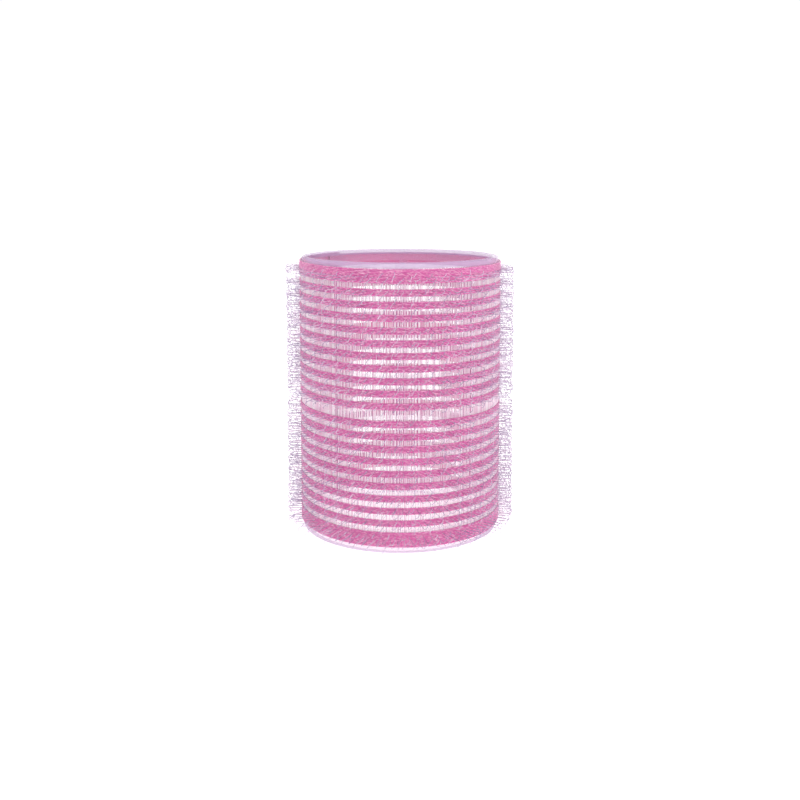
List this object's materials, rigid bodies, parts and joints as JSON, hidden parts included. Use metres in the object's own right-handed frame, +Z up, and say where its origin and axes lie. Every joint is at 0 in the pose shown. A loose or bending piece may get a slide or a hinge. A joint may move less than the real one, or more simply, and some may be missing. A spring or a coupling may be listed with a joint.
{
  "type": "self-grip hair roller",
  "caption": "Self-grip hair roller: a clear moulded lattice tube wrapped in pink woven hook tape, with fine clear hooks standing out all round.",
  "frame": {"origin": "centre of the roller's lower rim, on the surface it stands on", "axes": "+Z up along the roller's axis, -Y is the front, seam of the tape at the back left"},
  "size_m": [0.0504, 0.0504, 0.06],
  "materials": {
    "clear_core": "clear moulded polypropylene, satin",
    "pink_yarn": "dense woven nylon yarn, slight sheen",
    "clear_weft": "clear nylon monofilament",
    "clear_hooks": "clear nylon monofilament",
    "clear_adhesive": "thin clear hot-melt film"
  },
  "bodies": {
    "root": {"core_tube": "clear_core", "selvedge_bottom": "pink_yarn", "warp_band_01": "pink_yarn", "warp_band_02": "pink_yarn", "warp_band_03": "pink_yarn", "warp_band_04": "pink_yarn", "warp_band_05": "pink_yarn", "warp_band_06": "pink_yarn", "warp_band_07": "pink_yarn", "warp_band_08": "pink_yarn", "warp_band_09": "pink_yarn", "warp_band_10": "pink_yarn", "warp_band_11": "pink_yarn", "warp_band_12": "pink_yarn", "warp_band_13": "pink_yarn", "warp_band_14": "pink_yarn", "warp_band_15": "pink_yarn", "warp_band_16": "pink_yarn", "warp_band_17": "pink_yarn", "warp_band_18": "pink_yarn", "warp_band_19": "pink_yarn", "selvedge_top": "pink_yarn", "weft_picks": "clear_weft", "selvedge_bottom_hooks": "clear_hooks", "band_01_hooks": "clear_hooks", "band_02_hooks": "clear_hooks", "band_03_hooks": "clear_hooks", "band_04_hooks": "clear_hooks", "band_05_hooks": "clear_hooks", "band_06_hooks": "clear_hooks", "band_07_hooks": "clear_hooks", "band_08_hooks": "clear_hooks", "band_09_hooks": "clear_hooks", "band_10_hooks": "clear_hooks", "band_11_hooks": "clear_hooks", "band_12_hooks": "clear_hooks", "band_13_hooks": "clear_hooks", "band_14_hooks": "clear_hooks", "band_15_hooks": "clear_hooks", "band_16_hooks": "clear_hooks", "band_17_hooks": "clear_hooks", "band_18_hooks": "clear_hooks", "band_19_hooks": "clear_hooks", "selvedge_top_hooks": "clear_hooks", "lap_adhesive": "clear_adhesive"}
  },
  "joints": []
}
